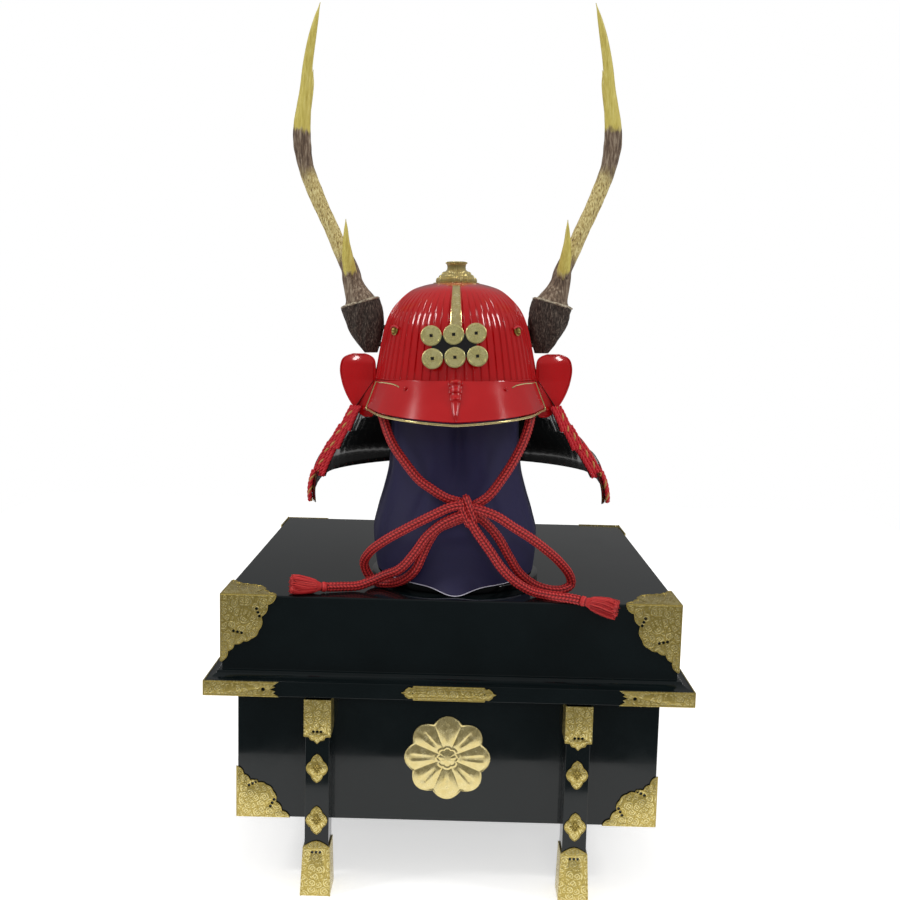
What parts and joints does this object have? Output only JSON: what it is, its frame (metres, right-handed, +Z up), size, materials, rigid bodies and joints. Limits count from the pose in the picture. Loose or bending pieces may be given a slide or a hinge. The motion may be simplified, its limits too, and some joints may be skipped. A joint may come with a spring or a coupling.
{
  "type": "kabuto samurai helmet on a draped stand and footed chest",
  "caption": "Red ridged samurai helmet with antlers, coin crest, laced neck guard and tied chin cord, on a cloth-draped stand over a black lacquer chest with gilt fittings",
  "frame": {"origin": "on the floor under the middle of the chest", "axes": "+Z up, +X to the right as seen from the front, the front of helmet and chest faces -Y"},
  "size_m": [0.598, 0.5711, 1.1163],
  "materials": {
    "black_lacquer": "high gloss black lacquer on wood",
    "engraved_gold": "gilt brass with engraved leaf scrolls",
    "coin_gold": "polished gilt brass",
    "crest_black": "gloss black",
    "red_lacquer": "high gloss red lacquer on steel",
    "laced_lame": "red laced outside, gloss black lacquer inside",
    "antler_horn": "rough brown horn with pale yellow tips",
    "stand_black": "satin black lacquer on wood",
    "indigo_cloth": "matt plain weave",
    "red_cord": "herringbone braid"
  },
  "bodies": {
    "root": {"chest_body": "black_lacquer", "chest_lid": "black_lacquer", "leg_front_left": "black_lacquer", "leg_front_right": "black_lacquer", "leg_back_left": "black_lacquer", "leg_back_right": "black_lacquer", "leg_cap_front_left": "engraved_gold", "leg_cap_front_right": "engraved_gold", "leg_cap_back_left": "engraved_gold", "leg_cap_back_right": "engraved_gold", "leg_shoe_front_left": "engraved_gold", "leg_shoe_front_right": "engraved_gold", "leg_shoe_back_left": "engraved_gold", "leg_shoe_back_right": "engraved_gold", "lid_corner_front_left": "engraved_gold", "lid_corner_front_right": "engraved_gold", "lid_corner_back_left": "engraved_gold", "lid_corner_back_right": "engraved_gold", "lip_corner_front_left": "engraved_gold", "lip_corner_front_right": "engraved_gold", "lip_corner_back_left": "engraved_gold", "lip_corner_back_right": "engraved_gold", "base_corner_front_left": "engraved_gold", "base_corner_front_right": "engraved_gold", "base_corner_back_left": "engraved_gold", "base_corner_back_right": "engraved_gold", "lip_centre_strip": "engraved_gold", "front_rosette": "engraved_gold", "visor_rim": "engraved_gold", "crown_ornament": "engraved_gold", "front_strip": "engraved_gold", "crest_coin_1": "coin_gold", "crest_coin_2": "coin_gold", "crest_coin_3": "coin_gold", "crest_coin_4": "coin_gold", "crest_coin_5": "coin_gold", "crest_coin_6": "coin_gold", "crest_plate": "crest_black", "helmet_bowl": "red_lacquer", "visor": "red_lacquer", "crest_socket": "red_lacquer", "top_lame": "laced_lame", "lame_2": "laced_lame", "lame_3": "laced_lame", "lame_4": "laced_lame", "lame_5": "laced_lame", "antler_left": "antler_horn", "antler_right": "antler_horn", "display_stand": "stand_black", "stand_cloth": "indigo_cloth", "chin_cord": "red_cord", "bow_loop_left": "red_cord", "bow_loop_right": "red_cord", "bow_tail_left": "red_cord", "bow_tail_right": "red_cord", "bow_knot": "red_cord", "tassel_left": "red_cord", "tassel_right": "red_cord"}
  },
  "joints": []
}
